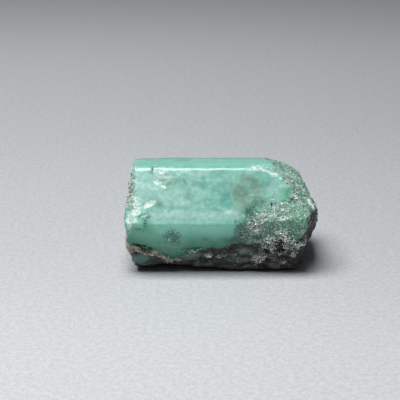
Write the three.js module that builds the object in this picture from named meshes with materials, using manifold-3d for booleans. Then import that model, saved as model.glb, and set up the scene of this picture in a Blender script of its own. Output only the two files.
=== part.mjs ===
// A raw emerald crystal: one short six-sided beryl prism, worn by tumbling, lying on a flat underside.
// Millimetres. +X runs along the crystal's own axis, -Y faces the viewer of its best side and +Z is up.
// The origin is at the middle of the footprint, on the surface that the stone rests on.
import * as THREE from "three";
import { mergeVertices } from "three/addons/utils/BufferGeometryUtils.js";
import Module from "manifold-3d";

// Driving dimensions.
const LENGTH = 32; // of the prism, before its ends were worn
const SIDE = 9.5; // width of one prism face
const ROLL_DEG = 9.9; // turn of the prism about its axis, away from lying squarely on a face
const FRONT_LIFT = 0.6; // height of the lower front edge before wear, in front of the footprint
const EDGE_ROUND = 0.75; // how far from each long edge its rounding starts
const ARC_STEPS = 5; // facets across a rounded long edge
const CHIP_STEPS = 28; // facets round a chip's scoop
const REACH = 60; // size of a cutting block, larger than the stone

// Worked out from the driving dimensions.
const APOTHEM = (SIDE * Math.sqrt(3)) / 2; // axis to the middle of a face
const FRONT_EDGE_DEG = ROLL_DEG; // elevation of the long edge that is nearest the viewer
const LOWER_EDGE_DEG = FRONT_EDGE_DEG - 60; // elevation of the long edge below it
const AXIS_HEIGHT = FRONT_LIFT - SIDE * Math.sin(THREE.MathUtils.degToRad(LOWER_EDGE_DEG));

// The six prism faces: the elevation of each face's normal as seen along the axis, 90 being up, and how much
// further out than a regular prism's it lies.
const PRISM_FACES = [
  { elevation: FRONT_EDGE_DEG + 30, outwards: 0 }, // upper front
  { elevation: FRONT_EDGE_DEG + 90, outwards: 0.1 }, // top
  { elevation: FRONT_EDGE_DEG + 150, outwards: 0.2 }, // upper back
  { elevation: FRONT_EDGE_DEG + 210, outwards: -0.2 }, // lower back
  { elevation: FRONT_EDGE_DEG + 270, outwards: 0 }, // underside, worn off below the resting surface
  { elevation: FRONT_EDGE_DEG - 30, outwards: 0 }, // lower front
];

// Breaks and wear are cut by planes: a point on each and the way that it faces.
const RESTING_SURFACE = { through: [0, 0, 0], facing: [0, 0, -1] };
// The lower front edge is worn back, so that it overhangs the footprint.
const UNDERCUT = { through: [0, -6.3, 1.1], facing: [0, -0.33, -0.94] };
const END_BREAKS = [
  // The left end is a nearly square break, worn back above and below the front edge.
  { through: [-14.95, -6.9, 11.2], facing: [-0.987, 0.01, 0.158] },
  { through: [-15.15, -9.3, 9.5], facing: [-1, 0.03, -0.13] },
  { through: [-14.6, -6.4, 13.1], facing: [-0.81, -0.42, 0.4] },
  { through: [-14.6, 7.8, 9.1], facing: [-0.78, 0.6, 0.16] },
  { through: [-14.1, -5.6, 1.2], facing: [-0.75, -0.2, -0.62] },
  // The right end is a blunt nose: bevels run down to it from the top, and below it the end is undercut.
  { through: [6.3, -3.4, 16.7], facing: [0.34, -0.07, 0.94] },
  { through: [14, -8.4, 10.6], facing: [0.48, -0.42, 0.77] },
  { through: [13.3, -3, 15.05], facing: [0.68, 0.2, 0.7] },
  { through: [15.94, -1, 7.25], facing: [0.927, 0.102, 0.361] },
  { through: [13.67, -8.4, 9.5], facing: [0.905, -0.348, -0.244] },
  { through: [15.94, -1, 7.25], facing: [0.959, 0, -0.283] },
  { through: [14.1, -5.2, 2], facing: [0.72, -0.1, -0.62] },
  { through: [13.2, 7.6, 8.1], facing: [0.7, 0.7, 0.12] },
  { through: [9.2, 5.6, 14.6], facing: [0.42, 0.42, 0.8] },
];

// Shallow scoops where flakes came away: the middle of each and its half-axes along X, Y and Z.
const CHIPS = [
  { middle: [-7.6, -6.9, -0.9], half: [5.4, 2.8, 2.4] }, // hollow under the lower front edge
  { middle: [-17.7, 2, 11.6], half: [4, 5.6, 4.6] }, // shell-shaped break in the left end
  { middle: [18.2, 5.4, 10.4], half: [4.2, 5.2, 5] }, // and in the right end, behind the nose
  { middle: [2.6, 9.6, 11.2], half: [6.4, 2.1, 2.6] }, // long scar on the back
];

const manifold = await Module();
manifold.setup();

// A solid for booleans from a closed three.js geometry.
function solidFrom(geometry) {
  const bare = geometry.clone();
  bare.deleteAttribute("normal");
  bare.deleteAttribute("uv");
  const merged = mergeVertices(bare, 1e-4);
  return new manifold.Manifold(
    new manifold.Mesh({
      numProp: 3,
      vertProperties: merged.attributes.position.array,
      triVerts: new Uint32Array(merged.index.array),
    }),
  );
}

// A three.js geometry from a solid.
function geometryFrom(solid) {
  const { vertProperties, triVerts } = solid.getMesh();
  const geometry = new THREE.BufferGeometry();
  geometry.setAttribute("position", new THREE.BufferAttribute(vertProperties, 3));
  geometry.setIndex(new THREE.BufferAttribute(triVerts, 1));
  geometry.computeVertexNormals();
  return geometry;
}

// Where two neighbouring faces meet, as a point of the cross-section: x is towards +Y and y is up.
function cornerBetween(face, next) {
  const [a, b] = [face, next].map(({ elevation }) => THREE.MathUtils.degToRad(elevation));
  const [p, q] = [face, next].map(({ outwards }) => APOTHEM + outwards);
  const turn = Math.sin(b - a);
  const along = (p * Math.sin(b) - q * Math.sin(a)) / turn;
  const up = (q * Math.cos(a) - p * Math.cos(b)) / turn;
  return new THREE.Vector2(-along, up + AXIS_HEIGHT);
}

// The prism's cross-section, with its corners rounded.
function crossSection() {
  const corners = PRISM_FACES.map((face, i) =>
    cornerBetween(face, PRISM_FACES[(i + 1) % PRISM_FACES.length]),
  );
  const shape = new THREE.Shape();
  corners.forEach((corner, i) => {
    const before = corners.at(i - 1);
    const after = corners[(i + 1) % corners.length];
    const start = corner.clone().add(before.clone().sub(corner).setLength(EDGE_ROUND));
    const end = corner.clone().add(after.clone().sub(corner).setLength(EDGE_ROUND));
    if (i === 0) shape.moveTo(start.x, start.y);
    else shape.lineTo(start.x, start.y);
    shape.quadraticCurveTo(corner.x, corner.y, end.x, end.y);
  });
  shape.closePath();
  return shape;
}

// The whole prism before any wear, its axis along X.
function prism() {
  const geometry = new THREE.ExtrudeGeometry(crossSection(), {
    depth: LENGTH,
    bevelEnabled: false,
    curveSegments: ARC_STEPS,
  });
  geometry.translate(0, 0, -LENGTH / 2);
  // The section's x and y and the extrusion's z become Y, Z and X.
  geometry.applyMatrix4(
    new THREE.Matrix4().makeBasis(
      new THREE.Vector3(0, 1, 0),
      new THREE.Vector3(0, 0, 1),
      new THREE.Vector3(1, 0, 0),
    ),
  );
  return solidFrom(geometry);
}

// A block whose one face is the plane, and which holds everything that the plane faces.
function beyondPlane({ through, facing }) {
  const block = new THREE.BoxGeometry(REACH, REACH, REACH).translate(0, 0, REACH / 2);
  const normal = new THREE.Vector3(...facing).normalize();
  const turn = new THREE.Quaternion().setFromUnitVectors(new THREE.Vector3(0, 0, 1), normal);
  block.applyQuaternion(turn).translate(...through);
  return solidFrom(block);
}

// A chip's scoop.
function scoop({ middle, half }) {
  const ball = new THREE.SphereGeometry(1, CHIP_STEPS, CHIP_STEPS / 2);
  ball.scale(...half).translate(...middle);
  return solidFrom(ball);
}

// The worn stone: the prism without its breaks, its chips and what lies below the resting surface.
function wornStone() {
  const planes = [RESTING_SURFACE, UNDERCUT, ...END_BREAKS];
  const removed = [...planes.map(beyondPlane), ...CHIPS.map(scoop)];
  return removed.reduce((stone, away) => stone.subtract(away), prism());
}

// Puts the origin in the middle of the footprint without lifting the stone.
function centreOverOrigin(geometry) {
  geometry.computeBoundingBox();
  const middle = geometry.boundingBox.getCenter(new THREE.Vector3());
  return geometry.translate(-middle.x, -middle.y, 0);
}

const crystal = new THREE.Mesh(
  centreOverOrigin(geometryFrom(wornStone())),
  new THREE.MeshStandardMaterial({ color: 0x7fbfa8, roughness: 0.4, metalness: 0 }),
);
crystal.name = "emerald_crystal";

const part = new THREE.Group();
part.add(crystal);

export default part;
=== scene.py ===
"""A raw emerald crystal on a pale floor: milky green beryl with worn edges, scars, mica and dark schist.

Lengths are in millimetres in the tables and the shape code, and in metres once a mesh is made.
"""
import math

import bpy
import numpy as np
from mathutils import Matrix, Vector


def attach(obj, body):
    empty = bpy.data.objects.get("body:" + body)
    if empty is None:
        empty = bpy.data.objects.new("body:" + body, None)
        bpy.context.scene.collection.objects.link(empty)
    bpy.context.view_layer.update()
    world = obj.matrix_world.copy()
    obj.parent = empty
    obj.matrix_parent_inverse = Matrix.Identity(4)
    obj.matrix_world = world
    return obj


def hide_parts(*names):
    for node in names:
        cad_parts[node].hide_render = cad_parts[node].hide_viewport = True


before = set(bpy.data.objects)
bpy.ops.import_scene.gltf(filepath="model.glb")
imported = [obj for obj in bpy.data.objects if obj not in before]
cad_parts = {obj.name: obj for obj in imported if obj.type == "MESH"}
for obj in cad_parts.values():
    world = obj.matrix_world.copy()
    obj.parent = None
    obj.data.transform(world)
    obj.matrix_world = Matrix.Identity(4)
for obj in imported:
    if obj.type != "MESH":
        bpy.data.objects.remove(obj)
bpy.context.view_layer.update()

MM = 0.001
NODE = "emerald_crystal"

# The prism under the wear, as in the CAD model: its side, its roll about +X and the height of its axis.
SIDE = 9.5
ROLL_DEG = 9.9
APOTHEM = SIDE * math.sqrt(3) / 2
FRONT_LIFT = 0.6
AXIS_Z = FRONT_LIFT + SIDE * math.sin(math.radians(60 - ROLL_DEG))
MIDDLE_X = -0.39  # where the middle of the unworn prism lies along X

# The crystal's mesh.
VOXEL = 0.162  # side of its quads
EDGE_PASSES = 8  # smoothing that wears every edge round
CORNER_PASSES = 24  # more of it, at the upper left corner
NORMAL_PASSES = 6  # and of its normals, along which the relief stands out
BORDER_WANDER = 0.35  # how far the borders between rough beryl, polished beryl and schist wander

# Relief: heights and depths in millimetres.
SWELL = 0.08  # broad unevenness of the whole stone
WAVES = 0.035  # of the polished faces
ROUGH_GRAIN = 0.22
SCHIST_BEDS = 0.14
PIT_DEPTH = 0.22
SPOT_DEPTH = 0.04
SCAR_DEPTH = 0.07
RIM_HEIGHT = 0.12  # of the crumbled rim at the left end
NOSE_REACH = 0.3  # how much further out the nose stands than in the CAD model
LEDGE_HEIGHT = 0.16  # of the grey ledge low on the left
OVERHANG_LUMP = 0.55  # of the mica clusters under the front edge
STRAND_HEIGHT, OVERHANG_STRAND = 0.08, 0.16  # of the mica strands: everywhere, and more under the front edge
BEVEL_DEPTH = 0.17  # worn just below the polished face's upper edge
UPPER_CREST = 0.15  # along that edge
LOWER_CREST = 0.3  # along the polished face's lower edge

# The lower front edge comes down and forward from the CAD model's: everywhere, and more towards the nose.
LIP_DROP, LIP_DROP_AT_NOSE = 0.12, 0.46
LIP_FORWARD, LIP_FORWARD_AT_NOSE = 0.15, 0.35

# ---------------------------------------------------------------------------------------------------------
# Places on the stone. Each is (x, girth, half length, half width, turn in degrees, strength), in millimetres.
# x runs along the stone. Girth runs round it from the front edge: 0 to 9.5 is the polished front face, above
# 9.5 the top, 0 to -9.5 the lower front face, and below that the underside.
# ---------------------------------------------------------------------------------------------------------
PALE_SCARS = [
    (-13.5, 2.0, 0.75, 0.5, 15, 0.95),
    (-13.3, 3.2, 0.9, 1.1, 0, 0.6),
    (-13.6, 0.5, 0.6, 0.6, 0, 0.5),
    (-11.35, 3.1, 0.8, 0.34, 28, 1.0),
    (-10.5, 3.5, 0.35, 0.3, 50, 0.5),
    (-9.9, 6.8, 0.5, 0.26, -10, 0.9),
    (-9.1, 6.2, 0.5, 0.2, -40, 0.75),
    (-9.3, 8.75, 1.1, 0.5, 5, 0.5),
    (-8.8, 8.1, 1.0, 0.5, 15, 0.2),
    (-10.2, 10.0, 0.25, 0.4, 0, 0.5),
    (-8.1, -3.5, 0.16, 0.3, 0, 0.5),
    (-14.3, -0.3, 0.35, 1.6, 0, 0.75),
    (7.0, 8.85, 1.3, 0.14, -22, 0.9),
    (8.5, 8.2, 0.6, 0.4, -10, 1.0),
    (6.0, 9.8, 1.2, 0.7, 0, 0.45),
    (4.9, 9.3, 0.8, 0.3, 0, 0.5),
    (9.7, 7.3, 0.6, 0.25, -40, 0.5),
    (10.3, 6.6, 0.5, 0.25, -40, 0.5),
    (-9.5, 20.0, 0.9, 0.4, 15, 0.8),
    (1.2, 18.9, 1.2, 0.25, 0, 0.6),
    (-5.4, 28.6, 1.4, 0.3, 0, 0.8),
    (-12.5, 24.5, 0.6, 0.4, 40, 0.8),
    (4.0, 23.5, 0.7, 0.3, -30, 0.7),
]
SMUDGES = [
    (3.6, 4.7, 1.8, 2.2, 10, 0.9),
    (3.6, 4.3, 1.2, 1.2, 0, 1.0),
    (5.6, 3.6, 1.9, 1.3, 0, 0.8),
    (2.2, 3.6, 0.4, 0.3, 0, 1.0),
    (5.2, 5.8, 1.9, 2.0, 0, 0.7),
    (3.8, 3.3, 1.3, 1.7, 20, 1.0),
    (5.1, 7.3, 1.1, 0.6, -10, 1.0),
    (5.3, 7.4, 0.5, 0.3, 0, 1.0),
    (3.6, 7.2, 1.0, 0.9, 0, 0.6),
    (5.6, 4.6, 0.9, 0.8, 0, 0.6),
    (-7.4, 6.9, 1.5, 1.8, 0, 0.5),
    (-8.3, 6.4, 0.5, 0.5, 0, 0.95),
    (-8.9, 7.6, 0.9, 0.7, 30, 0.7),
    (-10.6, 9.0, 0.5, 0.6, 0, 0.9),
    (-5.5, 6.8, 0.2, 1.0, 6, 0.75),
    (-6.2, 6.2, 0.8, 0.7, 0, 0.4),
    (-9.0, 5.5, 0.8, 0.3, -30, 0.55),
    (-9.7, 3.1, 0.8, 0.7, 20, 0.8),
    (-5.0, 4.4, 0.8, 0.6, 0, 0.7),
    (-13.9, -1.6, 0.8, 0.9, 0, 0.35),
    (-11.6, 0.2, 0.5, 0.8, 0, 0.55),
    (-3.0, 22.0, 2.0, 1.6, 20, 0.8),
    (3.5, 25.5, 1.4, 1.2, 0, 0.7),
    (-10.0, 26.0, 1.2, 1.8, 0, 0.6),
    (-6.0, 15.5, 1.6, 1.0, 10, 0.5),
]
DEEP_SPOTS = [
    (-11.3, 0.95, 0.3, 0.28, 0, 1.0),
    (-11.9, -0.2, 0.4, 0.9, 15, 0.55),
    (-12.2, 1.2, 0.9, 0.2, 25, 0.5),
    (-7.5, -2.9, 1.2, 1.5, 10, 0.8),
    (-2.4, -3.3, 0.6, 0.5, 0, 0.45),
    (-12.8, -1.3, 0.8, 0.5, 0, 0.5),
    (3.4, -1.3, 1.1, 2.0, 0, 1.0),
    (4.6, 1.5, 1.0, 0.9, 30, 0.9),
    (5.5, 2.6, 1.4, 0.5, 35, 0.5),
    (2.6, -3.6, 1.6, 0.8, 0, 0.95),
    (5.5, -2.9, 1.6, 1.0, 0, 0.8),
    (8.4, -1.2, 1.4, 0.8, 0, 0.6),
    (-1.8, 22.6, 0.8, 0.7, 0, 0.8),
    (-11.5, 21.5, 0.6, 0.6, 0, 0.6),
    (0.8, 30.5, 1.2, 0.9, 0, 0.7),
]
VIVID_SPOTS = [
    (10.4, 4.7, 0.7, 1.1, 0, 1.0),
    (11.3, -0.8, 1.7, 1.2, 0, 0.75),
    (12.4, 0.6, 0.8, 1.6, 0, 0.6),
    (12.3, -2.6, 0.9, 0.9, 0, 0.8),
    (5.0, -2.6, 1.6, 1.2, 0, 0.5),
    (-7.2, -2.8, 3.2, 1.3, 0, 0.35),
    (-12.0, -1.6, 2.4, 1.2, 0, 0.6),
]
MILKY_PATCHES = [
    (-12.7, 6.0, 2.0, 3.2, 0, 0.7),
    (-8.9, 3.9, 1.4, 1.2, 0, 0.8),
    (-7.2, 0.9, 4.4, 1.2, 0, 1.0),
    (2.2, 1.3, 1.5, 1.0, 0, 0.8),
    (-3.0, 0.8, 3.8, 1.0, 0, 0.9),
    (8.4, 10.2, 2.8, 1.8, 0, 1.0),
    (-12.2, 3.4, 1.4, 1.2, 0, 0.7),
    (-3.9, 8.3, 1.9, 0.8, 0, 0.8),
    (-6.5, 3.6, 1.6, 1.2, 0, 0.7),
    (-3.5, 3.2, 1.5, 1.0, 0, 0.5),
    (8.6, 6.0, 2.0, 1.6, -20, 0.5),
    (-1.5, -0.8, 3.5, 0.5, 0, 0.4),
    (-13.2, 0.3, 0.9, 1.0, 0, 0.6),
    (-8.0, 22.5, 3.2, 1.8, 0, 0.8),
    (0.5, 29.5, 3.0, 1.4, 0, 0.7),
    (-2.0, 16.0, 3.0, 1.4, 0, 0.6),
]
TEAL_PATCHES = [
    (-2.8, 6.5, 1.6, 1.3, 0, 0.7),
    (0.5, 4.9, 1.1, 2.0, 0, 0.9),
    (-1.4, 5.6, 1.4, 0.9, 0, 0.6),
    (0.9, 3.3, 1.0, 1.3, 0, 1.0),
    (-0.5, 1.9, 1.2, 0.9, 0, 0.9),
    (-0.9, 8.4, 0.9, 1.2, 0, 0.5),
    (-1.4, 3.6, 0.9, 0.9, 0, 0.5),
    (7.4, 6.2, 1.4, 0.8, -15, 0.6),
    (-9.8, -3.0, 2.6, 1.2, 0, 0.7),
    (-3.5, -4.0, 3.6, 1.0, 0, 0.6),
    (2.0, -1.0, 1.2, 0.8, 0, 0.4),
    (-4.5, 25.5, 2.2, 1.4, 0, 0.8),
    (2.5, 21.5, 1.6, 1.6, 0, 0.7),
    (-11.0, 15.5, 1.8, 1.2, 0, 0.6),
    (-9.0, 31.0, 2.6, 1.2, 0, 0.7),
]
PITS = [
    (-10.2, 10.0, 0.3, 0.2, 20, 0.8),
    (-10.6, 9.1, 0.2, 0.5, 10, 0.5),
    (11.3, 3.9, 0.4, 0.2, 20, 0.85),
    (9.9, 3.6, 0.35, 0.12, 0, 0.6),
    (-14.5, 5.6, 0.35, 1.7, 5, 0.8),
    (-14.4, 6.2, 0.2, 0.6, 8, 1.0),
    (-14.6, 4.9, 0.2, 0.8, 5, 1.0),
    (-14.8, 3.6, 0.2, 0.5, 0, 0.8),
    (8.0, 3.0, 0.15, 0.3, 0, 0.9),
    (7.9, 2.0, 0.12, 0.4, 0, 0.5),
    (-13.2, -4.6, 0.8, 0.2, -15, 0.95),
    (-12.2, -5.0, 0.5, 0.25, 0, 1.0),
    (-11.2, -5.4, 0.5, 0.25, -10, 1.0),
    (-12.2, -5.8, 0.4, 0.3, 20, 0.9),
    (-13.4, -6.4, 0.35, 0.3, 0, 0.9),
    (9.6, -4.4, 0.5, 0.9, 0, 0.9),
    (6.7, -3.4, 0.3, 0.25, 0, 0.5),
    (-6.8, 24.0, 0.3, 0.2, 20, 0.8),
    (4.6, 28.2, 0.4, 0.2, 0, 0.7),
]
MICA_CLUSTERS = [
    (7.7, -3.6, 1.2, 1.1, 0, 1.0),
    (8.2, -4.9, 0.8, 0.9, 0, 1.0),
    (10.6, -3.1, 1.7, 0.8, -45, 1.0),
    (11.6, -4.2, 1.6, 0.5, 5, 1.0),
    (10.9, -4.6, 0.8, 0.5, 0, 0.8),
    (9.4, -1.9, 1.0, 0.4, -20, 0.7),
    (6.3, -7.2, 1.2, 0.7, 20, 1.0),
    (5.8, -7.6, 0.35, 0.3, 0, 0.7),
    (5.2, -0.5, 0.8, 1.2, 20, 1.0),
    (6.1, 0.5, 0.4, 0.6, 30, 0.7),
    (8.25, 3.2, 0.1, 1.7, 3, 0.6),
    (8.4, 1.6, 0.35, 0.9, 0, 0.75),
    (10.1, 3.25, 0.7, 0.15, 3, 1.0),
    (11.7, 4.3, 0.5, 0.4, -50, 1.0),
    (12.2, 3.5, 0.3, 0.3, -50, 0.6),
    (9.7, 0.7, 1.8, 0.3, 5, 0.8),
    (7.2, 1.4, 1.0, 0.6, 30, 0.35),
    (9.4, 2.3, 1.2, 0.5, 0, 0.3),
    (9.7, -6.1, 0.7, 0.25, 10, 0.6),
    (11.6, -6.4, 0.6, 0.6, 0, 0.5),
    (10.3, -7.7, 0.3, 0.16, 0, 0.9),
    (10.8, 7.1, 0.3, 1.1, -50, 0.8),
    (12.7, 7.1, 0.2, 0.8, -60, 0.9),
    (13.9, -1.0, 0.4, 2.0, -60, 0.4),
    (10.2, 9.6, 0.6, 0.25, -30, 0.8),
    (7.4, 9.9, 1.2, 0.4, 0, 0.4),
    (-13.4, -4.9, 0.9, 0.3, -20, 0.9),
    (-14.3, -5.2, 0.5, 0.9, 0, 0.9),
    (-12.8, -5.7, 0.9, 0.3, -15, 0.95),
    (-11.6, -6.2, 1.1, 0.2, -8, 1.0),
    (-10.3, -5.9, 0.6, 0.5, -40, 0.7),
    (-9.2, -6.9, 1.1, 0.3, -20, 0.6),
    (-7.6, -7.6, 1.6, 0.25, -6, 0.7),
    (-1.9, -6.6, 0.5, 0.35, 30, 0.8),
    (0.2, -6.9, 0.9, 0.25, 0, 0.65),
    (2.1, -6.6, 0.5, 0.3, 30, 0.5),
    (-4.6, -5.6, 1.6, 0.25, 5, 0.45),
]
GREY_WINDOWS = [
    (-4.6, -6.9, 1.0, 0.5, 0, 1.0),
    (3.8, -6.1, 1.0, 0.6, 0, 0.6),
    (1.8, -7.6, 2.4, 0.5, 0, 0.25),
    (-13.0, -7.5, 1.6, 0.95, 0, 0.8),
]
# Smooth cream facets at the nose.
CREAM_FACETS = [
    (14.2, 3.5, 1.5, 0.3, -66, 1.0),
    (13.2, 6.4, 0.8, 0.14, -66, 0.6),
]
# The rough mica zone lies beyond this line on the nose's side: the line's x at each girth.
MICA_LINE = [
    (-9.5, 3.0), (-4.6, 3.2), (-2.5, 2.6), (-1.0, 2.9), (0.0, 3.5), (0.8, 4.0), (1.6, 4.8), (2.2, 6.0),
    (2.8, 7.4), (3.2, 8.4), (3.5, 10.6), (5.2, 10.8), (6.2, 10.4), (7.2, 9.8), (8.2, 9.4), (9.5, 8.6),
    (12.0, 8.0), (14.0, 8.0), (19.0, 7.0), (24.0, 6.0), (28.5, 7.5), (34.0, 4.0), (38.0, 2.0),
]
# Schist covers the stone below this line: the line's girth at each x, on the front.
SCHIST_LINE = [
    (-15.2, -3.8), (-13.5, -4.6), (-12.0, -5.3), (-10.5, -6.1), (-9.0, -7.0), (-7.5, -7.4), (-6.3, -6.8),
    (-5.2, -5.9), (-3.0, -5.6), (0.0, -5.3), (3.0, -4.2), (6.0, -4.1), (8.0, -3.7), (10.0, -3.2),
    (12.0, -3.9), (12.9, -3.0), (13.5, -1.4), (14.1, 1.0), (14.5, 2.3), (15.3, 2.7),
]
BACK_GIRTH = 20  # the back lies beyond this girth
BACK_SCHIST_GIRTH = 34.5  # and there the schist starts this far round


# ---------------------------------------------------------------------------------------------------------
# Noise, on arrays of points.
# ---------------------------------------------------------------------------------------------------------
def hashed(cells, seed):
    """A number from 0 to 1 for each integer cell. Large primes keep neighbouring cells apart."""
    h = np.full(len(cells), np.uint32(seed * 7919 + 17))
    for axis, prime in enumerate((73856093, 19349663, 83492791)):
        h = (h ^ (cells[:, axis].astype(np.uint32) * np.uint32(prime))) * np.uint32(2654435761)
        h ^= h >> np.uint32(15)
    return (h & np.uint32(0xFFFFFF)) / float(0x1000000)


def noise(points, size, seed):
    """Smooth noise from -1 to 1, whose bumps are about size millimetres across. Each use has its own seed."""
    p = points / size
    base = np.floor(p)
    f = p - base
    f = f * f * f * (f * (f * 6 - 15) + 10)
    cells = base.astype(np.int64)
    total = np.zeros(len(points))
    for corner in np.ndindex(2, 2, 2):
        weight = np.prod(np.where(np.array(corner) == 1, f, 1 - f), axis=1)
        total += weight * hashed(cells + corner, seed)
    return total * 2 - 1


def layered(points, size, layers, seed):
    """Noise with ever finer layers, from about -1 to 1."""
    total = sum(noise(points, size / 2**i, seed + i) / 2**i for i in range(layers))
    return total / (2 - 2.0 ** (1 - layers))


def ramp(values, low, high):
    """0 below low, 1 above high and smooth between."""
    t = np.clip((values - low) / (high - low), 0, 1)
    return t * t * (3 - 2 * t)


# ---------------------------------------------------------------------------------------------------------
# Coordinates on the stone.
# ---------------------------------------------------------------------------------------------------------
def along_of(points):
    """How far along the stone each point lies from the middle of the unworn prism."""
    return points[:, 0] - MIDDLE_X


def girth_of(points):
    """How far round the stone each point lies from the front edge, from -19 on the underside to 38."""
    turn = np.degrees(np.arctan2(points[:, 2] - AXIS_Z, -points[:, 1])) - ROLL_DEG
    turn = (turn + 120) % 360 - 120
    face = np.floor(turn / 60)
    across = APOTHEM * np.tan(np.radians(turn - face * 60 - 30))
    return face * SIDE + SIDE / 2 + across


def marks(places, along, around, points, seed, softness=0.6):
    """How strongly the listed places mark each point. Outlines are uneven, and vaguer when softer."""
    out = np.zeros(len(along))
    wobble = layered(points, 0.9, 3, seed) * 0.45
    for x, girth, half_long, half_wide, turn, strength in places:
        c, s = math.cos(math.radians(turn)), math.sin(math.radians(turn))
        dx, dg = along - x, around - girth
        far = np.hypot((dx * c + dg * s) / half_long, (dg * c - dx * s) / half_wide) + wobble
        out = np.maximum(out, strength * (1 - ramp(far, 1 - softness, 1 + softness)))
    return out


def mesh_points(mesh):
    """A mesh's vertices, in millimetres."""
    points = np.empty(len(mesh.vertices) * 3, np.float32)
    mesh.vertices.foreach_get("co", points)
    return points.reshape(-1, 3).astype(float) / MM


def mesh_normals(mesh):
    """The normal at each vertex."""
    normals = np.empty(len(mesh.vertices) * 3, np.float32)
    mesh.vertices.foreach_get("normal", normals)
    return normals.reshape(-1, 3).astype(float)


def set_points(mesh, points):
    """Moves a mesh's vertices to the points, given in millimetres."""
    mesh.vertices.foreach_set("co", (points * MM).astype(np.float32).ravel())
    mesh.update()


def edge_pairs(mesh):
    """The two vertices of each edge."""
    pairs = np.empty(len(mesh.edges) * 2, np.int32)
    mesh.edges.foreach_get("vertices", pairs)
    return pairs.reshape(-1, 2)


def smoothed(values, pairs, passes, rate=0.5):
    """Values per vertex, each moved towards its neighbours' mean, over and over."""
    count = np.bincount(pairs.ravel(), minlength=len(values)).astype(float)
    values = values.copy()
    columns = values.reshape(len(values), -1)
    for _ in range(passes):
        for c in range(columns.shape[1]):
            sums = np.bincount(pairs[:, 0], columns[pairs[:, 1], c], len(values))
            sums += np.bincount(pairs[:, 1], columns[pairs[:, 0], c], len(values))
            columns[:, c] += rate * (sums / count - columns[:, c])
    return columns.reshape(values.shape)


# ---------------------------------------------------------------------------------------------------------
# The crystal.
# ---------------------------------------------------------------------------------------------------------
def dense_copy():
    """The CAD stone as an even mesh of small quads, with its edges worn round."""
    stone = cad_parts[NODE].copy()
    stone.data = stone.data.copy()
    stone.name = stone.data.name = "emerald_crystal_surface"
    stone.parent = None
    for label in list(stone.keys()):
        del stone[label]
    stone.data.materials.clear()
    bpy.context.scene.collection.objects.link(stone)
    remesh = stone.modifiers.new("remesh", "REMESH")
    remesh.mode = "VOXEL"
    remesh.voxel_size = VOXEL * MM
    bpy.context.view_layer.objects.active = stone
    stone.select_set(True)
    bpy.ops.object.modifier_apply(modifier="remesh")
    mesh = stone.data
    pairs = edge_pairs(mesh)
    points = smoothed(mesh_points(mesh), pairs, EDGE_PASSES)
    # The upper left corner is worn rounder than the rest.
    corner = ramp(-points[:, 0], 10.5, 14.0) * ramp(points[:, 2], 12.5, 15.0)
    rounder = smoothed(points, pairs, CORNER_PASSES)
    set_points(mesh, points + (rounder - points) * corner[:, None])
    return stone


def soft_marks(places, points, seed):
    """Marks with softer and more wandering outlines."""
    wander = 0.5 * layered(points, 1.5, 3, seed + 3)
    return marks(places, along_of(points) + wander, girth_of(points) + wander, points, seed, 0.9)


def rough_zone(along, around, points):
    """Where the beryl is rough and full of mica: past its line, with a border that wanders."""
    line = np.interp(around, *zip(*MICA_LINE))
    return ramp(along - line + 1.1 * layered(points, 1.1, 3, 31), -0.7, 1.0)


def schist_zone(around, above, points, normals):
    """Where schist covers the stone: below its line in front, low on the back and underneath."""
    front = ramp(0.35 * layered(points, 1.1, 3, 41) - above, -0.45, 0.45)
    back = ramp(around - BACK_SCHIST_GIRTH + 1.6 * layered(points, 3.0, 3, 43), -0.4, 0.6)
    under = ramp(-normals[:, 2], 0.75, 0.9)
    patches = ramp(layered(points, 3.0, 3, 47), -0.7, -0.3)
    return np.maximum.reduce([front, back * (around > BACK_GIRTH), under * patches])


def left_rim(x, g, points):
    """The crumbled upper rim of the left end."""
    rim = ramp(0.4 * layered(points, 0.7, 3, 53) - x - 0.12 * np.abs(g - 6), 13.1, 13.9)
    return rim * ramp(g, 1.5, 3.0) * (g < 14)


def painted_glow_zone(x, g):
    """Where light is painted on, glowing: just under the front edge, for light that shines through, and, half
    as strongly, in the top face, for light falling on it from above.
    """
    edge = np.exp(-(((g + 1.7) / 1.7) ** 2)) * ramp(5 - x, 0, 4) * ramp(0.8 - g, 0, 1.6)
    top = 0.5 * ramp(g, 9.9, 10.8) * ramp(17.5 - g, 0, 1.5)
    return np.maximum(edge, top)


def bottle_and_shade_zone(x, around, above):
    """Where the lower front face deepens to a dark green towards the schist: partly its own colour, partly
    painted shade low on the face near the floor.
    """
    return np.clip(1 - above / 5.5, 0, 1) ** 1.6 * (around < 12) * ramp(-x, -5, -2)


def beige_zone(x, g):
    """Where the mica is beige: low on the stone, and higher up at its left end."""
    return np.maximum(ramp(-x, 5, 8), ramp(-g, 5.6, 6.6)) * ramp(-g, 3.0, 4.5)


def mica_strands(clusters, points):
    """Thin raised threads within the mica clusters."""
    first = np.abs(layered(points, 0.75, 2, 73))
    second = np.abs(layered(points + 40, 0.6, 2, 79)) * 1.3
    return (1 - ramp(np.minimum(first, second), 0.03, 0.105)) * ramp(clusters, 0.1, 0.5)


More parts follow.
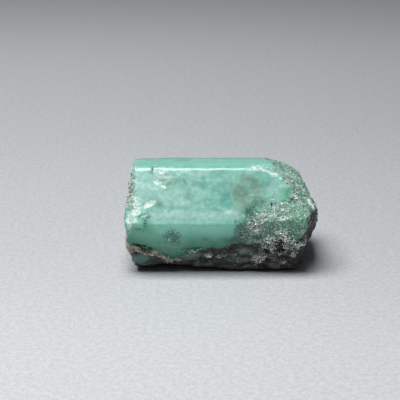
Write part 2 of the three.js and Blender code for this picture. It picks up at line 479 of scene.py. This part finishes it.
def surface_masks(points, normals):
    """What the stone's surface is made of at each point, and where light and shade are painted on it: values
    from 0 to 1 by name.
    """
    x, g = along_of(points), girth_of(points)
    along = x + BORDER_WANDER * layered(points, 1.6, 3, 11)
    around = g + BORDER_WANDER * layered(points, 1.6, 3, 23)
    above = around - np.interp(along, *zip(*SCHIST_LINE))
    rough = rough_zone(along, around, points)
    schist = schist_zone(around, above, points, normals)
    ends = ramp(np.abs(normals[:, 0]), 0.55, 0.8)
    window = marks(GREY_WINDOWS, x, g, points, 51, 0.8)
    rim = left_rim(x, g, points)
    wander = 0.22 * layered(points, 0.8, 3, 59)
    clusters = marks(MICA_CLUSTERS, x + wander, g + wander, points, 101, 0.9)
    return {
        "window": window,
        "schist": schist * (1 - 0.9 * window),
        "mica": np.maximum.reduce([rough, 0.8 * ends, 0.9 * rim, 0.6 * schist * (1 - window)]),
        "rim": rim,
        "bottle_and_shade": bottle_and_shade_zone(x, around, above),
        "painted_glow": painted_glow_zone(x, g),
        "pale": np.maximum(marks(PALE_SCARS, x, g, points, 61, 0.7), 0.6 * rim),
        "milk": soft_marks(MILKY_PATCHES, points, 65),
        "teal": soft_marks(TEAL_PATCHES, points, 67),
        "smudge": soft_marks(SMUDGES, points, 71),
        "deep": marks(DEEP_SPOTS, x, g, points, 81, 0.7),
        "pit": marks(PITS, x, g, points, 91, 0.8),
        "flakes": clusters,
        "strand": mica_strands(clusters, points),
        "beige": beige_zone(x, g),
        "cream": marks(CREAM_FACETS, x, g, points, 103, 0.5),
        "vivid": soft_marks(VIVID_SPOTS, points, 107),
    }


def crest(girth, middle, reach):
    """A crest along the stone: 1 at its middle, and 0 from its reach on."""
    return np.clip(1 - np.abs(girth - middle) / reach, 0, 1) ** 2


def worn_edges(points, polished):
    """Relief of the polished face's edges. The upper one and its bevel fade out towards the left end."""
    g = girth_of(points)
    edges = -BEVEL_DEPTH * np.clip((g - 8.8) / 1.2, 0, 1) ** 2 * (1 - ramp(g, 10.0, 12.0))
    edges += UPPER_CREST * crest(g, 10.1, 0.8) * polished
    edges *= 0.1 + 0.9 * ramp(points[:, 0], -11.0, -7.0)
    edges += LOWER_CREST * crest(g, -0.25, 0.9) * polished
    return edges


def relief(points, mask):
    """How far each point stands out from the worn stone, in millimetres."""
    polished = (1 - mask["mica"]) * (1 - mask["schist"])
    low = ramp(-girth_of(points), 0.5, 2.0)
    swell = SWELL * layered(points, 6.0, 2, 111)
    waves = polished * (WAVES * layered(points, 2.2, 2, 113) + 0.01 * noise(points, 0.7, 117))
    grain = ROUGH_GRAIN * layered(points, 0.9, 3, 121) + 0.1 * noise(points, 0.3, 127)
    rough = mask["mica"] * (grain - 0.06)
    beds = SCHIST_BEDS * noise(points * (0.35, 1.0, 1.6), 0.5, 131) + 0.08 * noise(points, 0.35, 137)
    slate = mask["schist"] * (beds - 0.08)
    scars = SCAR_DEPTH * mask["pale"] * (noise(points, 0.35, 141) - 1)
    holes = -PIT_DEPTH * mask["pit"] - SPOT_DEPTH * mask["deep"]
    lumps = mask["flakes"] * (0.1 * noise(points, 0.4, 151) + OVERHANG_LUMP * low)
    strands = (STRAND_HEIGHT + OVERHANG_STRAND * low) * mask["strand"]
    rim = mask["rim"] * (RIM_HEIGHT + 0.2 * noise(points, 0.45, 157))
    nose = NOSE_REACH * ramp(points[:, 0], 14.0, 15.2) * ramp(points[:, 2], 1.5, 4.0)
    ledges = LEDGE_HEIGHT * ramp(mask["window"], 0.2, 0.6) * (points[:, 0] < -10)
    grown = swell + waves + rough + slate + scars + holes + lumps + strands
    return grown + rim + nose + ledges + worn_edges(points, polished)


def lower_lip(points):
    """The stone's points with its lower front edge brought nearly to the floor, more so towards the nose."""
    front = ramp(-points[:, 1], 2.5, 5.0) * ramp(2.6 - points[:, 2], 0, 1.6)
    towards_nose = ramp(points[:, 0], -6, 4)
    moved = points.copy()
    moved[:, 1] -= front * (LIP_FORWARD + LIP_FORWARD_AT_NOSE * towards_nose)
    moved[:, 2] -= front * (LIP_DROP + LIP_DROP_AT_NOSE * towards_nose)
    return moved


def write_masks(mesh, mask):
    """Keeps the masks with the mesh, for its material to read."""
    for name, values in mask.items():
        layer = mesh.attributes.new(name, "FLOAT", "POINT")
        layer.data.foreach_set("value", values.astype(np.float32))


def make_crystal():
    """The whole stone as one closed mesh."""
    stone = dense_copy()
    mesh = stone.data
    points = mesh_points(mesh)
    pairs = edge_pairs(mesh)
    normals = smoothed(mesh_normals(mesh), pairs, NORMAL_PASSES)
    normals /= np.linalg.norm(normals, axis=1, keepdims=True)
    mask = surface_masks(points, normals)
    height = relief(points, mask)
    moved = lower_lip(points + normals * height[:, None])
    moved[:, 2] = np.maximum(moved[:, 2], 0)
    set_points(mesh, moved)
    write_masks(mesh, mask)
    mesh.shade_smooth()
    return stone


# ---------------------------------------------------------------------------------------------------------
# Materials.
# ---------------------------------------------------------------------------------------------------------
class Graph:
    """A short way to write a material's nodes."""

    def __init__(self, name):
        self.material = bpy.data.materials.new(name)
        self.material.use_nodes = True
        self.tree = self.material.node_tree
        self.tree.nodes.clear()
        self.output = self.tree.nodes.new("ShaderNodeOutputMaterial")

    def node(self, kind, inputs=None, **settings):
        """A new node, its inputs set to values or linked to sockets."""
        node = self.tree.nodes.new(kind)
        for key, value in settings.items():
            setattr(node, key, value)
        for key, value in (inputs or {}).items():
            self.feed(node.inputs[key], value)
        return node

    def feed(self, socket, value):
        """Links a socket to the input, or sets the input to a number or colour."""
        if isinstance(value, bpy.types.NodeSocket):
            self.tree.links.new(value, socket)
        else:
            socket.default_value = value

    def mask(self, name, strength=1.0):
        """One of the surface masks kept with the mesh, times a strength."""
        value = self.node("ShaderNodeAttribute", attribute_name=name).outputs["Fac"]
        return value if strength == 1.0 else self.math("MULTIPLY", value, strength)

    def math(self, operation, a, b=0.0, clamp=False):
        """A sum on numbers or sockets, kept between 0 and 1 if clamped."""
        return self.node("ShaderNodeMath", {0: a, 1: b}, operation=operation, use_clamp=clamp).outputs[0]

    def mix(self, factor, a, b, blend="MIX"):
        """Colour a where the factor is 0, and where it is 1 colour b or the blend of both."""
        node = self.node("ShaderNodeMix", data_type="RGBA", blend_type=blend)
        self.feed(node.inputs["Factor"], factor)
        self.feed(node.inputs["A"], a)
        self.feed(node.inputs["B"], b)
        return node.outputs["Result"]

    def axis(self, name):
        """One coordinate of the point, in metres."""
        place = self.node("ShaderNodeTexCoord").outputs["Object"]
        return self.node("ShaderNodeSeparateXYZ", {0: place}).outputs[name]

    def grade(self, value, low, high, to_low=0.0, to_high=1.0):
        """A smooth step of the value, between the two results, as it goes from low to high."""
        inputs = {"Value": value, "From Min": low, "From Max": high, "To Min": to_low, "To Max": to_high}
        return self.node("ShaderNodeMapRange", inputs, interpolation_type="SMOOTHSTEP").outputs[0]

    def broken(self, name, noise, amount, strength=1.0):
        """A mask whose edge is broken up by noise, the more so the larger the amount."""
        shift = self.math("MULTIPLY", self.math("SUBTRACT", noise, 0.5), 2 * amount)
        mask = self.mask(name)
        inside = self.grade(mask, 0.0, 0.25)
        value = self.grade(self.math("ADD", mask, shift), 0.2, 0.8)
        return self.math("MULTIPLY", self.math("MULTIPLY", value, inside), strength)

    def web(self, size):
        """Thin wandering threads, about size millimetres apart."""
        off = self.math("ABSOLUTE", self.math("SUBTRACT", self.noise(size, 4, 0.65, 1.0), 0.5))
        return self.grade(off, 0.04, 0.018)

    def tint(self, colour, value):
        """The colour made darker or lighter by a factor."""
        grey = self.node("ShaderNodeCombineColor", {0: value, 1: value, 2: value}).outputs[0]
        return self.mix(1.0, colour, grey, "MULTIPLY")

    def noise(self, size, detail=3.0, roughness=0.55, distortion=0.0, stretch=(1, 1, 1)):
        """Noise whose bumps are about size millimetres across."""
        where = self.node("ShaderNodeTexCoord").outputs["Object"]
        scaled = self.node("ShaderNodeMapping", {"Vector": where, "Scale": stretch})
        inputs = {
            "Vector": scaled.outputs[0],
            "Scale": 1 / (size * MM),
            "Detail": detail,
            "Roughness": roughness,
            "Distortion": distortion,
        }
        return self.node("ShaderNodeTexNoise", inputs).outputs["Fac"]


# Colours of the polished beryl.
MINT = (0.222, 0.54, 0.43, 1)
MILK = (0.375, 0.62, 0.565, 1)
TEAL = (0.13, 0.41, 0.36, 1)
# painted light: a bright green that stands in for light shining through and falling on the top face
PAINTED_GLOW = (0.37, 0.90, 0.71, 1)
# a dark green that is partly the stone's own and partly painted shade low on the lower front face
BOTTLE_AND_SHADE = (0.001, 0.20, 0.10, 1)
DEEP = (0.018, 0.12, 0.075, 1)
SMOKE = (0.13, 0.225, 0.165, 1)
EMERALD = (0.055, 0.36, 0.175, 1)
CREAM = (0.78, 0.90, 0.79, 1)
# Colours of the rough beryl and its mica.
ROUGH_DARK = (0.018, 0.065, 0.045, 1)
ROUGH_GREEN = (0.08, 0.27, 0.19, 1)
ROUGH_LIGHT = (0.17, 0.355, 0.265, 1)
MICA_PALE = (0.86, 0.95, 0.86, 1)
MICA_BEIGE = (0.74, 0.66, 0.55, 1)
MICA_GAP = (0.012, 0.030, 0.022, 1)
FLAKE_COOL = (0.84, 0.94, 0.87, 1)
FLAKE_WHITE = (1.0, 1.0, 0.97, 1)
# Colours of the schist.
SCHIST = (0.006, 0.006, 0.006, 1)
SCHIST_GREY = (0.13, 0.145, 0.14, 1)
SCHIST_BROWN = (0.19, 0.175, 0.15, 1)
WINDOW = (0.15, 0.26, 0.21, 1)
# Colours of the floor.
FLOOR_DARK = (0.51, 0.528, 0.546, 1)
FLOOR_LIGHT = (0.585, 0.603, 0.621, 1)


def body_colour(g, fine, mid):
    """The polished beryl: milky mint with paler and more teal clouds, smudges and small scars, with painted
    light under the front edge and on the top, and a deeper green, partly painted shade, low on the lower
    front face.
    """
    clouds = g.grade(g.noise(2.6, 4, 0.6, 0.5), 0.36, 0.66, 0.0, 0.35)
    body = g.mix(clouds, MINT, MILK)
    veins = g.grade(g.noise(2.1, 5, 0.65, 0.8), 0.56, 0.72, 0.0, 0.45)
    body = g.mix(veins, body, TEAL)
    body = g.mix(g.broken("teal", mid, 0.7, 0.85), body, TEAL)
    body = g.mix(g.broken("milk", mid, 0.7, 0.8), body, MILK)
    body = g.tint(body, g.grade(g.noise(0.7, 4, 0.6), 0.3, 0.7, 0.87, 1.12))
    off = g.math("ABSOLUTE", g.math("SUBTRACT", g.noise(2.4, 5, 0.6, 1.2), 0.5))
    cracks = g.grade(off, 0.014, 0.0, 0.0, 0.4)
    body = g.mix(cracks, body, TEAL)
    # painted light, glowing under the front edge and on the top face
    body = g.mix(g.mask("painted_glow", 0.85), body, PAINTED_GLOW)
    # partly a deeper green, partly painted shade, low on the lower front face
    body = g.mix(g.mask("bottle_and_shade", 0.97), body, BOTTLE_AND_SHADE)
    haze = g.math("ADD", g.math("MULTIPLY", mid, 0.7), g.math("MULTIPLY", fine, 0.3))
    cloudy = g.math("MULTIPLY", g.mask("smudge"), g.grade(haze, 0.3, 0.6, 0.45, 1.3))
    body = g.mix(g.grade(cloudy, 0.05, 1.15, 0.0, 0.85), body, SMOKE)
    body = g.mix(g.mask("vivid", 0.8), body, EMERALD)
    body = g.mix(g.broken("deep", fine, 2.0, 0.8), body, DEEP)
    return g.mix(g.broken("pale", fine, 2.2, 0.95), body, CREAM)


def rough_colour(g, fine, mid):
    """The rough beryl: green grains with dark gaps and pale specks of mica."""
    patches = g.math("ADD", g.math("MULTIPLY", mid, 0.5), g.math("MULTIPLY", g.noise(2.5, 2, 0.5), 0.5))
    rock = g.mix(g.grade(patches, 0.40, 0.60), ROUGH_GREEN, ROUGH_LIGHT)
    rock = g.mix(g.mask("milk", 0.55), rock, MILK)
    rock = g.mix(g.mask("vivid", 0.75), rock, EMERALD)
    rock = g.mix(g.broken("deep", fine, 0.8, 0.85), rock, DEEP)
    rock = g.mix(g.grade(fine, 0.44, 0.34), rock, ROUGH_DARK)
    specks = g.noise(0.2, 2, 0.6, 0.8)
    return g.mix(g.grade(specks, 0.56, 0.63, 0.0, 0.85), rock, MICA_PALE)


def schist_colour(g, fine):
    """Dark schist in soft beds of grey and brown, with painted shade that is darkest under the nose, and a
    few pale flecks.
    """
    beds = g.noise(1.3, 5, 0.6, 0.6, (0.7, 1, 1.2))
    grey = g.mix(g.grade(g.noise(3.5, 2, 0.5), 0.42, 0.58), SCHIST_GREY, SCHIST_BROWN)
    dark = g.mix(g.grade(beds, 0.42, 0.66), SCHIST, grey)
    grain = g.grade(g.noise(0.28, 3, 0.7), 0.35, 0.75, 0.4, 2.0)
    # painted shade in the undercut under the nose, low near the floor
    nose = g.grade(g.axis("X"), 11.5 * MM, 13 * MM)
    foot = g.grade(g.axis("Z"), 7 * MM, 4.5 * MM, 0.0, 0.6)
    shade = g.math("SUBTRACT", 1.0, g.math("MULTIPLY", nose, foot))
    dark = g.tint(dark, g.math("MULTIPLY", grain, shade))
    return g.mix(g.grade(fine, 0.66, 0.76, 0.0, 0.7), dark, MICA_PALE)


def cluster_colour(g, colour, mid):
    """Mica clusters over the stone's colour: dark gaps, with painted shade making them darkest under the
    front edge, and pale threads.
    """
    cluster = g.broken("flakes", mid, 0.9)
    beige = g.mask("beige")
    # painted shade: the gaps grow darker lower down, under the front edge
    gap_dark_and_shade = g.grade(g.axis("Z"), 8 * MM, 5.5 * MM, 0.45, 0.8)
    gaps = g.math("SUBTRACT", gap_dark_and_shade, g.mask("beige", 0.45))
    colour = g.mix(g.math("MULTIPLY", cluster, gaps), colour, MICA_GAP)
    dust = g.math("MULTIPLY", beige, g.grade(g.axis("X"), -5 * MM, -8 * MM, 0.2, 0.4))
    colour = g.mix(g.math("MULTIPLY", cluster, dust), colour, MICA_BEIGE)
    threads = g.mix(beige, MICA_PALE, MICA_BEIGE)
    return g.mix(g.math("MULTIPLY", g.web(0.9), cluster), colour, threads)


def crystal_material():
    """Everything that the stone's surface is made of, with painted light and shade in its colour."""
    g = Graph("milky_emerald")
    fine, mid = g.noise(0.3, 3, 0.7, 0.6), g.noise(0.9, 4, 0.6, 0.5)
    rough = g.broken("mica", fine, 1.3)
    slate = g.broken("schist", mid, 0.8)
    colour = g.mix(rough, body_colour(g, fine, mid), rough_colour(g, fine, mid))
    colour = g.mix(slate, colour, schist_colour(g, fine))
    colour = g.mix(g.mask("window", 0.9), colour, WINDOW)
    colour = g.mix(g.mask("cream"), colour, CREAM)
    colour = cluster_colour(g, colour, mid)
    colour = g.mix(g.broken("pit", fine, 0.8), colour, SCHIST)

    polished = g.math("SUBTRACT", 1.0, g.math("MAXIMUM", rough, slate), True)
    glossy = g.math("SUBTRACT", polished, g.mask("pale"), True)
    height = g.math("MULTIPLY", fine, g.grade(polished, 0.0, 1.0, 1.0, 0.05))
    bump = g.node("ShaderNodeBump", {"Height": height, "Strength": 0.8, "Distance": 0.15 * MM})
    shader = g.node("ShaderNodeBsdfPrincipled", {
        "Base Color": colour,
        "Roughness": g.grade(glossy, 0.0, 1.0, 0.55, 0.25),
        "IOR": 1.57,
        "Subsurface Weight": g.math("MULTIPLY", polished, 0.7),
        "Subsurface Radius": (0.5, 1.0, 0.85),
        "Subsurface Scale": 1.5 * MM,
        "Normal": bump.outputs[0],
    })
    g.feed(g.output.inputs["Surface"], shader.outputs[0])
    return g.material


def floor_material():
    """Pale grey paper with a fine tooth, and painted light that makes it a little paler near the viewer and
    far behind the stone.
    """
    g = Graph("pale_floor")
    colour = g.mix(g.grade(g.noise(0.8, 3, 0.6), 0.3, 0.7), FLOOR_DARK, FLOOR_LIGHT)
    y = g.axis("Y")
    tooth = g.grade(g.noise(0.35, 2, 0.7), 0.3, 0.7, 0.93, 1.07)
    # painted light: paler far behind the stone and near the viewer
    far = g.grade(y, 60 * MM, 180 * MM, 0.0, 0.17)
    near = g.grade(y, 10 * MM, -40 * MM, -0.02, 0.08)
    paler = g.math("ADD", 1.0, g.math("ADD", far, near))
    colour = g.tint(colour, g.math("MULTIPLY", tooth, paler))
    shader = g.node("ShaderNodeBsdfPrincipled", {"Base Color": colour, "Roughness": 0.7})
    g.feed(g.output.inputs["Surface"], shader.outputs[0])
    return g.material


def flake_material():
    """Mica: nearly white, and beige low on the left."""
    g = Graph("mica")
    colour = g.mix(g.grade(g.noise(0.7, 2, 0.5), 0.35, 0.65), FLAKE_COOL, FLAKE_WHITE)
    left = g.grade(g.axis("X"), -5 * MM, -8 * MM)
    low = g.grade(g.axis("Z"), 7 * MM, 5.5 * MM)
    colour = g.mix(g.math("MULTIPLY", left, low), colour, MICA_BEIGE)
    inputs = {"Base Color": colour, "Roughness": 0.3, "Metallic": 0.15}
    shader = g.node("ShaderNodeBsdfPrincipled", inputs)
    g.feed(g.output.inputs["Surface"], shader.outputs[0])
    return g.material


# ---------------------------------------------------------------------------------------------------------
# Mica flakes: thin plates bedded in the rough parts of the surface.
# ---------------------------------------------------------------------------------------------------------
FLAKE_COUNT = 5400
FLAKE_SIDES = 6
FLAKE_SIZE = (0.05, 0.11)  # half a flake's length, before the clusters' are made larger
FLAKE_SLENDER = (0.2, 0.5)  # its width as a part of its length
FLAKE_THICK = (0.015, 0.035)  # half its thickness
FLAKE_LIFT = (0.0, 0.06)  # how far its middle stands out from the surface
FLAKE_LEAN = 0.35  # how unevenly it lies in the surface
CLUSTER_GROWTH, OVERHANG_GROWTH = 0.4, 0.8  # how much larger it is in a cluster, and in one that overhangs
SCATTER = 0.08  # how far it may lie from its vertex
LOWEST_FLAKE = 0.8  # no flake is set on a vertex lower than this
TO_LIGHT = (0, -0.65, 0.9)  # the way that the flakes of the overhanging clusters face


def vertex_mask(mesh, name):
    """One of the masks kept with the mesh."""
    values = np.empty(len(mesh.vertices), np.float32)
    mesh.attributes[name].data.foreach_get("value", values)
    return values


def flake_places(points, mesh, rng):
    """Which vertices a flake lies on: most in the clusters, fewer on the rough beryl and the left rim."""
    schist = vertex_mask(mesh, "schist")
    rocky = vertex_mask(mesh, "mica") * (1 - schist)
    threads = 1 - ramp(np.abs(layered(points, 0.9, 2, 83)), 0.03, 0.16)
    patchy = ramp(noise(points, 2.2, 201), -0.35, 0.35)
    weight = 1.4 * vertex_mask(mesh, "strand") * (1 + 0.6 * schist)
    weight += 0.1 * rocky * threads * patchy + 0.005 * rocky
    weight += 0.2 * vertex_mask(mesh, "rim")
    weight *= points[:, 2] > LOWEST_FLAKE
    return rng.choice(len(points), FLAKE_COUNT, replace=False, p=weight / weight.sum())


def flake_rim(centre, normal, size, slender, rng):
    """The outline of one flake, which is uneven and longer one way."""
    side = np.cross(normal, rng.normal(0, 1, 3))
    side /= np.linalg.norm(side)
    angles = np.arange(FLAKE_SIDES) * 2 * math.pi / FLAKE_SIDES + rng.uniform(-0.35, 0.35, FLAKE_SIDES)
    radii = size * rng.uniform(0.7, 1.2, FLAKE_SIDES)
    along = (np.cos(angles) * radii)[:, None] * side
    across = (np.sin(angles) * radii * slender)[:, None] * np.cross(normal, side)
    return centre + along + across


def add_plate(verts, faces, rim, thick):
    """Adds a closed plate: the rim moved one way, the rim moved the other way and the sides between them."""
    start, n = len(verts), FLAKE_SIDES
    verts.extend(rim + thick)
    verts.extend(rim - thick)
    faces.append([start + i for i in range(n)])
    faces.append([start + n + i for i in reversed(range(n))])
    for i in range(n):
        j = (i + 1) % n
        faces.append([start + i, start + n + i, start + n + j, start + j])


def make_flakes(stone):
    """All the mica flakes as one mesh. Those in clusters are larger, and overhanging ones face the light."""
    rng = np.random.default_rng(7)
    mesh = stone.data
    points, normals = mesh_points(mesh), mesh_normals(mesh)
    dense = np.minimum(vertex_mask(mesh, "flakes"), 1.0)
    verts, faces = [], []
    for index in flake_places(points, mesh, rng):
        surface = normals[index]
        tilt = dense[index] * (surface[2] < 0.2)
        growth = 1.0 + CLUSTER_GROWTH * dense[index] + OVERHANG_GROWTH * tilt
        size = rng.uniform(*FLAKE_SIZE) * growth
        normal = surface * (1 - tilt) + rng.normal(0, FLAKE_LEAN, 3) + np.multiply(tilt, TO_LIGHT)
        normal /= np.linalg.norm(normal)
        aside = rng.normal(0, SCATTER, 3)
        aside -= surface * np.dot(aside, surface)
        centre = points[index] + aside + surface * (rng.uniform(*FLAKE_LIFT) + 0.05 * tilt)
        rim = flake_rim(centre, normal, size, rng.uniform(*FLAKE_SLENDER), rng)
        add_plate(verts, faces, rim, normal * rng.uniform(*FLAKE_THICK))
    verts = np.array(verts)
    verts[:, 2] = np.maximum(verts[:, 2], 0)
    flake_mesh = bpy.data.meshes.new("mica_flakes")
    flake_mesh.from_pydata((verts * MM).tolist(), [], faces)
    flakes = bpy.data.objects.new("mica_flakes", flake_mesh)
    bpy.context.scene.collection.objects.link(flakes)
    return flakes


# ---------------------------------------------------------------------------------------------------------
# Floor, camera and light.
# ---------------------------------------------------------------------------------------------------------
FLOOR_SIZE = 2000
CAMERA_ELEVATION_DEG = 20
CAMERA_DISTANCE = 173
CAMERA_NEAREST = 10  # nothing closer than this is drawn
LENS = 100
AIM = (-3.63, -8.17, 12.887)  # the point in the middle of the picture
SOFTBOX_PLACE = (-86, -61, 330)
SOFTBOX_SIZE = (230, 150)
SOFTBOX_WATTS = 1.45
WORLD_COLOUR = (0.78, 0.82, 0.88, 1)
WORLD_STRENGTH = 0.075


def make_floor():
    """A plain floor that reaches past the camera's view."""
    mesh = bpy.data.meshes.new("floor")
    half = FLOOR_SIZE / 2 * MM
    corners = [(-half, -half, 0), (half, -half, 0), (half, half, 0), (-half, half, 0)]
    mesh.from_pydata(corners, [], [(0, 1, 2, 3)])
    mesh.materials.append(floor_material())
    floor = bpy.data.objects.new("floor", mesh)
    bpy.context.scene.collection.objects.link(floor)


def make_camera():
    """The camera in front of the stone, looking down at it."""
    camera = bpy.data.objects.new("camera", bpy.data.cameras.new("camera"))
    bpy.context.scene.collection.objects.link(camera)
    elevation = math.radians(CAMERA_ELEVATION_DEG)
    back = Vector((0, -math.cos(elevation), math.sin(elevation)))
    camera.location = (Vector(AIM) + back * CAMERA_DISTANCE) * MM
    camera.rotation_euler = (math.pi / 2 - elevation, 0, 0)
    camera.data.lens = LENS
    camera.data.clip_start = CAMERA_NEAREST * MM
    bpy.context.scene.camera = camera


def make_light():
    """One wide softbox high on the left, which points straight down, in a dim room."""
    softbox = bpy.data.lights.new("softbox", "AREA")
    softbox.shape = "RECTANGLE"
    softbox.size, softbox.size_y = SOFTBOX_SIZE[0] * MM, SOFTBOX_SIZE[1] * MM
    softbox.energy = SOFTBOX_WATTS
    lamp = bpy.data.objects.new("softbox", softbox)
    lamp.location = Vector(SOFTBOX_PLACE) * MM
    bpy.context.scene.collection.objects.link(lamp)
    world = bpy.data.worlds.new("studio")
    bpy.context.scene.world = world
    world.use_nodes = True
    background = world.node_tree.nodes["Background"]
    background.inputs["Color"].default_value = WORLD_COLOUR
    background.inputs["Strength"].default_value = WORLD_STRENGTH
    bpy.context.scene.view_settings.view_transform = "Standard"
    bpy.context.scene.view_settings.look = "None"


make_camera()
make_floor()
make_light()

crystal = make_crystal()
crystal.data.materials.append(crystal_material())
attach(crystal, "root")
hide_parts(NODE)

flakes = make_flakes(crystal)
flakes.data.materials.append(flake_material())
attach(flakes, "root")
